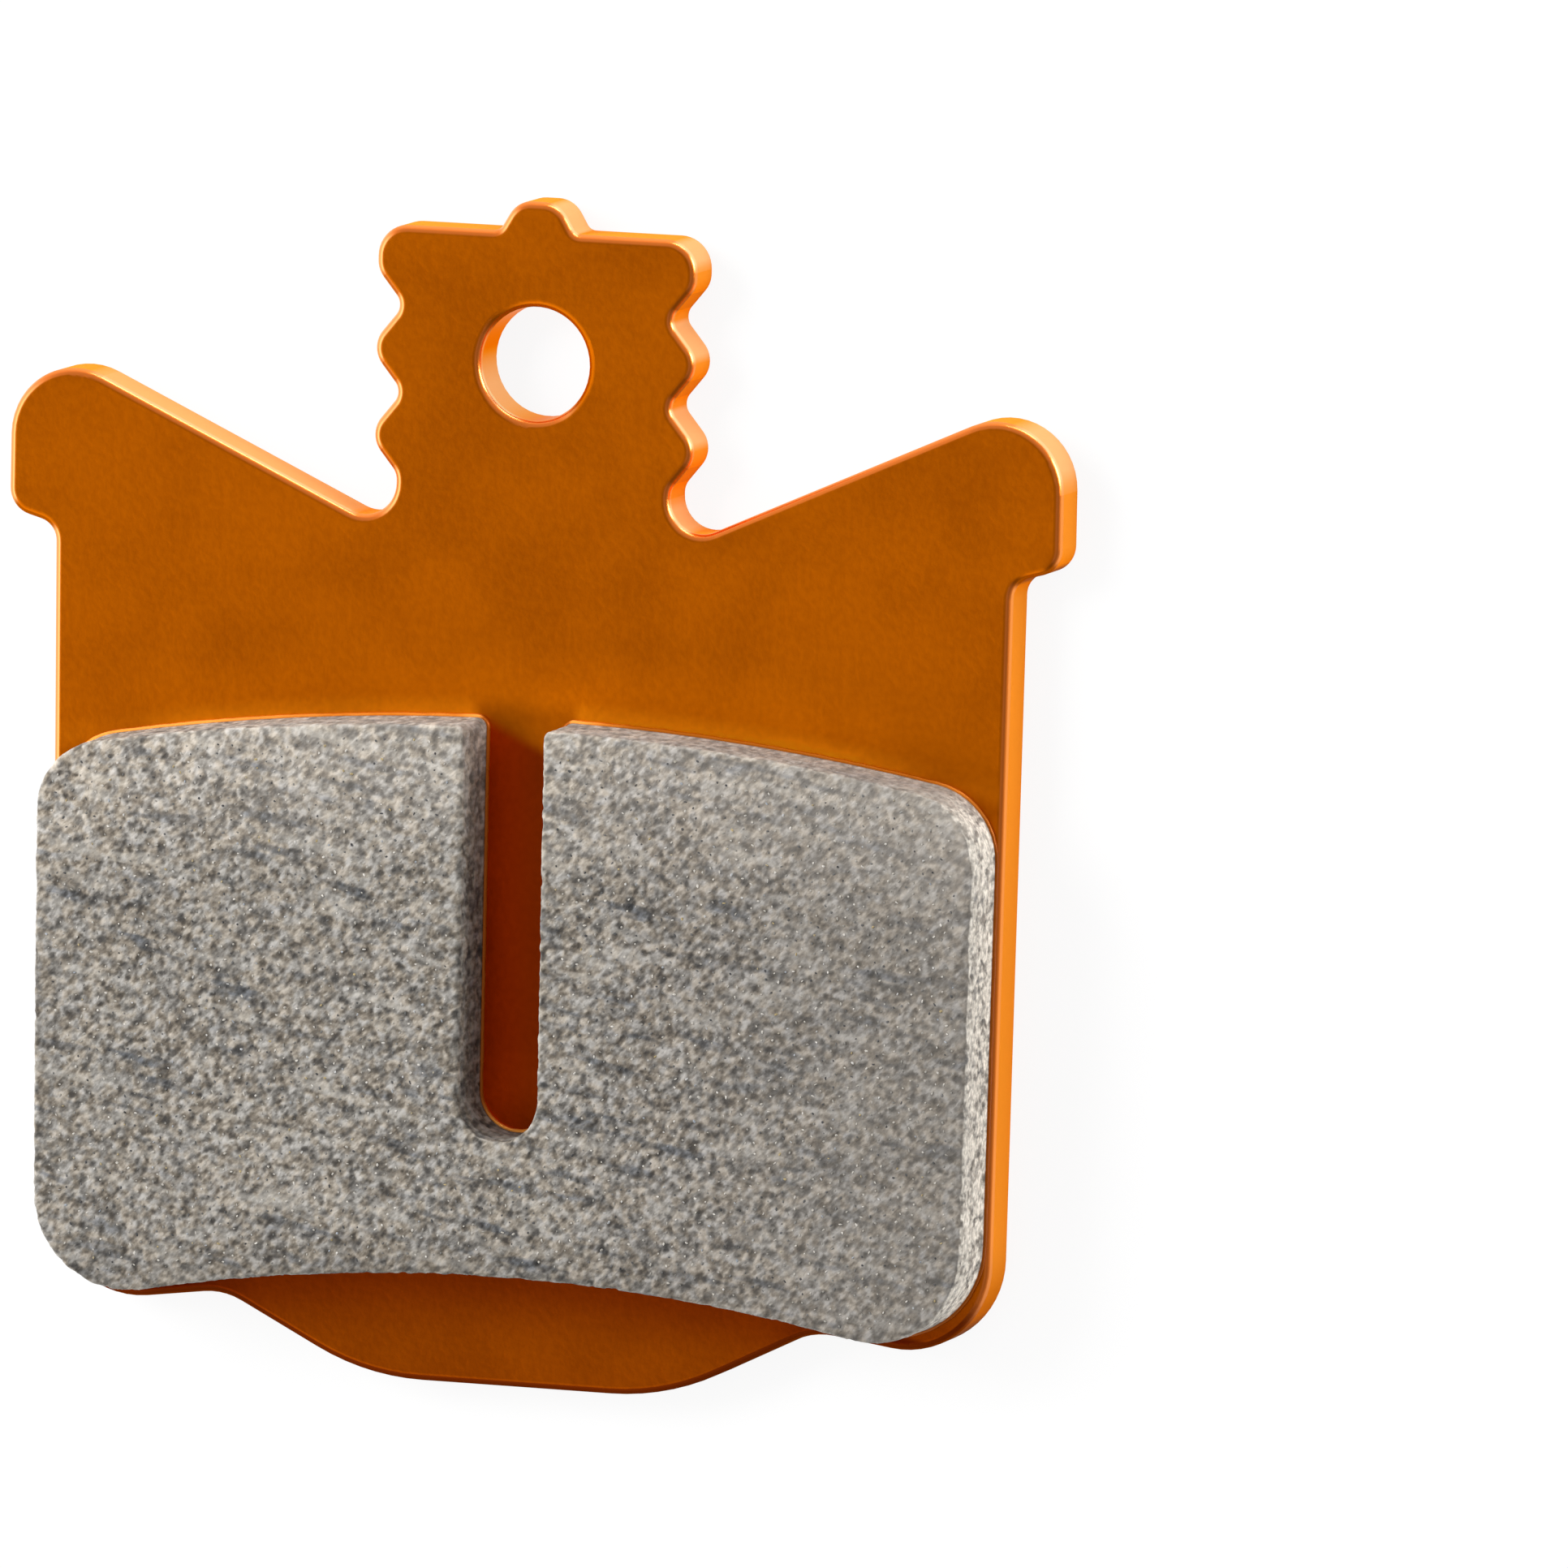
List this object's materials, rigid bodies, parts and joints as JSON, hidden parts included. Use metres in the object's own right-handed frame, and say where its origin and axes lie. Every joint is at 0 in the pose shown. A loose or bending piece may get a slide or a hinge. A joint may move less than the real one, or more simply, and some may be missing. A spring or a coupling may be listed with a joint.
{
  "type": "bicycle disc brake pad",
  "caption": "Flat brake pad for a bicycle disc caliper: a copper-coloured steel plate with a scalloped pin tab and two ears, carrying a slotted grey sintered lining that rubs on the rotor.",
  "frame": {"origin": "middle of the pad's bounding box in X and Y, on the back face of the plate", "axes": "+Z out of the rubbing face towards the rotor, +Y from the lining towards the pin tab, +X to the right seen from the rotor with the tab up"},
  "size_m": [0.0402, 0.043, 0.0044],
  "materials": {
    "copper_plate": "satin",
    "bond": "satin",
    "sintered_lining": "matte"
  },
  "bodies": {
    "root": {"backing_plate": "copper_plate", "bond_layer": "bond", "friction_lining": "sintered_lining"}
  },
  "joints": []
}
